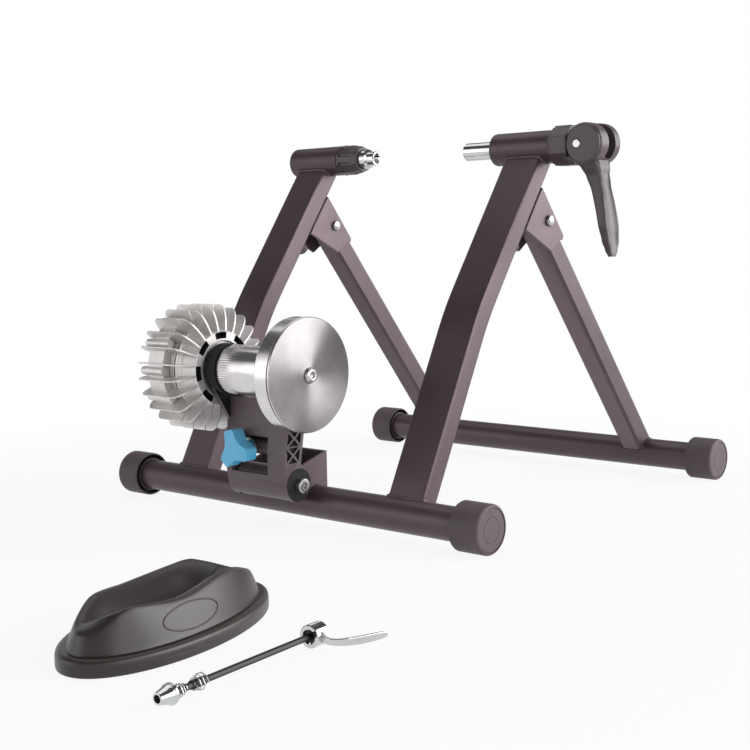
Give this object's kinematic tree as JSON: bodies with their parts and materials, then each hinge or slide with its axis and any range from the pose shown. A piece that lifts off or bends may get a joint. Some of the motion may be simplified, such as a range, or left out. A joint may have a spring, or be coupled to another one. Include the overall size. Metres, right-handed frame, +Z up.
{
  "type": "bike trainer",
  "caption": "Folding bike trainer with a finned fluid unit, roller and flywheel, axle clamp, folding rear stand, front wheel block and spare axle skewer.",
  "frame": {"origin": "middle of the footprint of the whole set at floor level", "axes": "+X along the base tubes from the finned casing's side to the quick clamp's side, +Y from the tube under the roller to the folding stand's tube, +Z up"},
  "size_m": [0.592, 0.8938, 0.392],
  "materials": {
    "powder_coat": "dark brown-black powder coat",
    "foot_rubber": "dark moulded rubber",
    "black_plastic": "black moulded plastic",
    "arm_plastic": "black glass-filled plastic",
    "block_plastic": "dark brown moulded plastic",
    "black_rubber": "black rubber",
    "black_steel": "black oxide",
    "blue_plastic": "bright blue moulded plastic",
    "white_nylon": "white nylon",
    "bright_steel": "bright zinc plate",
    "polished_steel": "turned and polished",
    "chrome": "bright chrome plate",
    "cast_aluminium": "satin die-cast",
    "matt_aluminium": "as cast"
  },
  "bodies": {
    "main_frame": {"near_base_tube": "powder_coat", "near_left_foot": "foot_rubber", "left_leg": "powder_coat", "left_leg_plug": "black_plastic", "left_hinge_bracket": "powder_coat", "left_hinge_bolt": "bright_steel", "left_hinge_nut": "bright_steel", "left_fold_buffer": "black_plastic", "near_right_foot": "foot_rubber", "right_leg": "powder_coat", "right_leg_plug": "black_plastic", "right_hinge_bracket": "powder_coat", "right_hinge_bolt": "bright_steel", "right_hinge_nut": "bright_steel", "right_fold_buffer": "black_plastic", "left_axle_sleeve": "powder_coat", "right_axle_sleeve": "powder_coat", "cam_housing": "black_plastic", "clamp_spring": "bright_steel", "unit_bracket": "powder_coat", "tension_bolt": "bright_steel", "tension_spring": "bright_steel", "pivot_bolt": "bright_steel", "pivot_nut": "bright_steel", "pivot_washer": "white_nylon", "riser_block": "block_plastic", "skewer_rod": "black_steel", "skewer_housing": "chrome", "skewer_spring_near": "bright_steel", "skewer_spring_far": "bright_steel"},
    "folding_stand": {"far_base_tube": "powder_coat", "far_left_foot": "foot_rubber", "left_strut": "powder_coat", "far_right_foot": "foot_rubber", "right_strut": "powder_coat"},
    "clamp_spindle_slide": {"clamp_spindle": "chrome", "cam_pin": "bright_steel"},
    "clamp_lever": {"cam_lever": "black_plastic"},
    "cup_collar": {"lock_collar": "black_plastic"},
    "cup_bolt_slide": {"cup_bolt": "chrome"},
    "tension_washer": {"knob_washer": "bright_steel"},
    "tension_handwheel": {"tension_knob": "blue_plastic"},
    "resistance_unit": {"unit_arm": "arm_plastic", "fluid_housing_inner": "cast_aluminium", "fluid_housing_outer": "cast_aluminium", "housing_gasket": "black_rubber", "shaft_seal": "black_rubber", "inner_bearing": "bright_steel", "outer_bearing": "bright_steel"},
    "drive": {"impeller": "matt_aluminium", "drive_shaft": "bright_steel", "roller": "polished_steel", "flywheel": "polished_steel", "flywheel_screw": "bright_steel"},
    "skewer_cone_nut": {"skewer_nut": "chrome"},
    "skewer_cam_lever": {"skewer_lever": "chrome"}
  },
  "joints": [
    {"name": "stand_fold", "type": "hinge", "parent": "main_frame", "child": "folding_stand", "pos_m": [-0.04345, 0.20072, 0.2969], "axis": [1, 0, 0], "range_deg": [-69, 0]},
    {"name": "unit_swing", "type": "hinge", "parent": "main_frame", "child": "resistance_unit", "pos_m": [-0.04345, -0.04359, 0.0454], "axis": [1, 0, 0], "range_deg": [-4, 10], "deforming": ["tension_spring"]},
    {"name": "drive_spin", "type": "hinge", "parent": "resistance_unit", "child": "drive", "pos_m": [-0.04345, -0.06159, 0.1567], "axis": [1, 0, 0], "continuous": true},
    {"name": "tension_travel", "type": "slide", "parent": "main_frame", "child": "tension_washer", "axis": [0, 1, 0], "range_m": [-0.0065, 0.0028]},
    {"name": "knob_turn", "type": "hinge", "parent": "tension_washer", "child": "tension_handwheel", "pos_m": [-0.05645, -0.05559, 0.0798], "axis": [0, 1, 0], "range_deg": [-2200, 900]},
    {"name": "lever_flip", "type": "hinge", "parent": "clamp_spindle_slide", "child": "clamp_lever", "pos_m": [0.17555, 0.19811, 0.3715], "axis": [0, -1, 0], "range_deg": [0, 90]},
    {"name": "spindle_slide", "type": "slide", "parent": "main_frame", "child": "clamp_spindle_slide", "axis": [1, 0, 0], "range_m": [0, 0.007], "deforming": ["clamp_spring"]},
    {"name": "cup_travel", "type": "slide", "parent": "main_frame", "child": "cup_bolt_slide", "axis": [1, 0, 0], "range_m": [-0.01, 0.01]},
    {"name": "collar_turn", "type": "hinge", "parent": "main_frame", "child": "cup_collar", "pos_m": [-0.15205, 0.19811, 0.3715], "axis": [1, 0, 0], "range_deg": [-1810, 1810]},
    {"name": "skewer_nut_turn", "type": "hinge", "parent": "main_frame", "child": "skewer_cone_nut", "pos_m": [0.26775, -0.44659, 0.0085], "axis": [-0.0785, 0.9969, 0], "continuous": true},
    {"name": "skewer_lever_flip", "type": "hinge", "parent": "main_frame", "child": "skewer_cam_lever", "pos_m": [0.25548, -0.29075, 0.0085], "axis": [0, 0, 1], "range_deg": [0, 90]}
  ],
  "couplings": [
    {"joint": "tension_travel", "follows": "unit_swing", "m_per_rad": -0.0342},
    {"joint": "knob_turn", "follows": "unit_swing", "ratio": -214.88},
    {"joint": "spindle_slide", "follows": "lever_flip", "m_per_rad": 0.0044563},
    {"joint": "collar_turn", "follows": "cup_travel", "rad_per_m": 3141.6}
  ]
}
